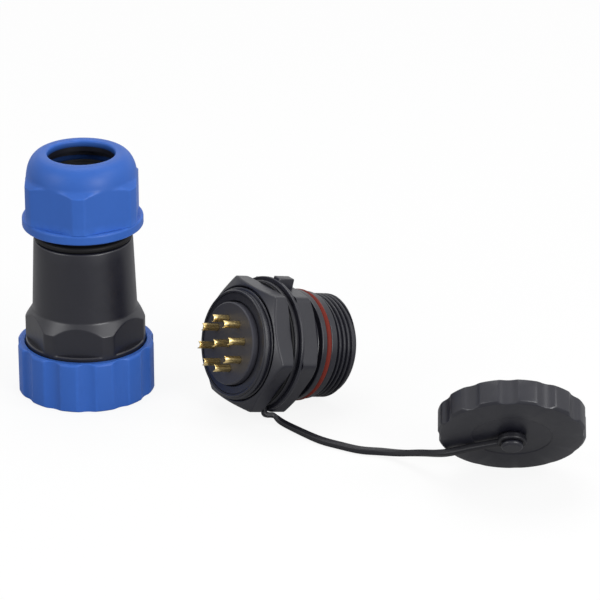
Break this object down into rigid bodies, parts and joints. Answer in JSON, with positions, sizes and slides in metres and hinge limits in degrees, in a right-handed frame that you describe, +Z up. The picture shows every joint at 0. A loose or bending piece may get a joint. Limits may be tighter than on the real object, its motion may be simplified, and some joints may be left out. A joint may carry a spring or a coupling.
{
  "type": "waterproof circular cable connector",
  "caption": "Sealed circular connector: a cable plug with coupling ring and gland nut, and a panel receptacle with seal ring, solder cups and a tethered dust cap.",
  "frame": {"origin": "plug axis at the face of its coupling ring, which stands on the floor", "axes": "+Z up the plug's axis to the cable entry, +X towards the cap, -Y towards the viewer of the picture"},
  "size_m": [0.1546, 0.0971, 0.0699],
  "materials": {
    "blue_plastic": "satin moulded nylon",
    "black_plastic": "satin moulded nylon",
    "insert_plastic": "fine matt contact carrier",
    "steel": "turned ring",
    "black_rubber": "matt silicone",
    "red_rubber": "matt silicone",
    "strap_plastic": "flexible moulded strap",
    "gold": "gold-plated turned brass"
  },
  "bodies": {
    "connector": {"plug_shell": "black_plastic", "back_shell": "black_plastic", "receptacle_shell": "black_plastic", "receptacle_retainer": "black_plastic", "plug_insert": "insert_plastic", "receptacle_insert": "insert_plastic", "plug_retainer": "steel", "face_gasket": "black_rubber", "joint_gasket": "black_rubber", "gland_o_ring": "black_rubber", "cable_seal": "black_rubber", "insert_gasket": "black_rubber", "coupling_o_ring": "red_rubber", "cap_tether": "strap_plastic", "socket_contact_1": "gold", "socket_contact_2": "gold", "socket_contact_3": "gold", "socket_contact_4": "gold", "socket_contact_5": "gold", "socket_contact_6": "gold", "socket_contact_7": "gold", "socket_contact_8": "gold", "socket_contact_9": "gold", "pin_contact_1": "gold", "pin_contact_2": "gold", "pin_contact_3": "gold", "pin_contact_4": "gold", "pin_contact_5": "gold", "pin_contact_6": "gold", "pin_contact_7": "gold", "pin_contact_8": "gold", "pin_contact_9": "gold"},
    "coupling_ring": {"coupling_ring": "blue_plastic"},
    "thrust_washer": {"thrust_washer": "black_plastic"},
    "gland_nut": {"gland_nut": "blue_plastic"},
    "panel_washer": {"panel_washer": "black_rubber"},
    "panel_nut": {"panel_nut": "black_plastic"},
    "cap": {"cap_shell": "black_plastic", "cap_gasket": "black_rubber", "cap_rivet": "black_plastic"}
  },
  "joints": [
    {"name": "coupling_turn", "type": "hinge", "parent": "connector", "child": "coupling_ring", "pos_m": [0, 0, 0], "axis": [0, 0, 1], "continuous": true},
    {"name": "gland_lift", "type": "slide", "parent": "connector", "child": "thrust_washer", "axis": [0, 0, 1], "range_m": [-0.0018, 0.006]},
    {"name": "gland_turn", "type": "hinge", "parent": "thrust_washer", "child": "gland_nut", "pos_m": [0, 0, 0.0589], "axis": [0, 0, 1], "range_deg": [-432, 1440]},
    {"name": "panel_lift", "type": "slide", "parent": "connector", "child": "panel_washer", "axis": [-0.7912, -0.554, 0.2588], "range_m": [0, 0.006]},
    {"name": "panel_turn", "type": "hinge", "parent": "panel_washer", "child": "panel_nut", "pos_m": [0.04509, -0.01948, 0.02114], "axis": [-0.7912, -0.554, 0.2588], "range_deg": [0, 1440]},
    {"name": "cap_turn", "type": "hinge", "parent": "connector", "child": "cap", "pos_m": [0.1158, -0.0663, 0.01497], "axis": [0.0247, 0.7844, 0.6198], "continuous": true}
  ],
  "couplings": [
    {"joint": "gland_turn", "follows": "gland_lift", "rad_per_m": 4188.8},
    {"joint": "panel_turn", "follows": "panel_lift", "rad_per_m": 4188.8}
  ]
}
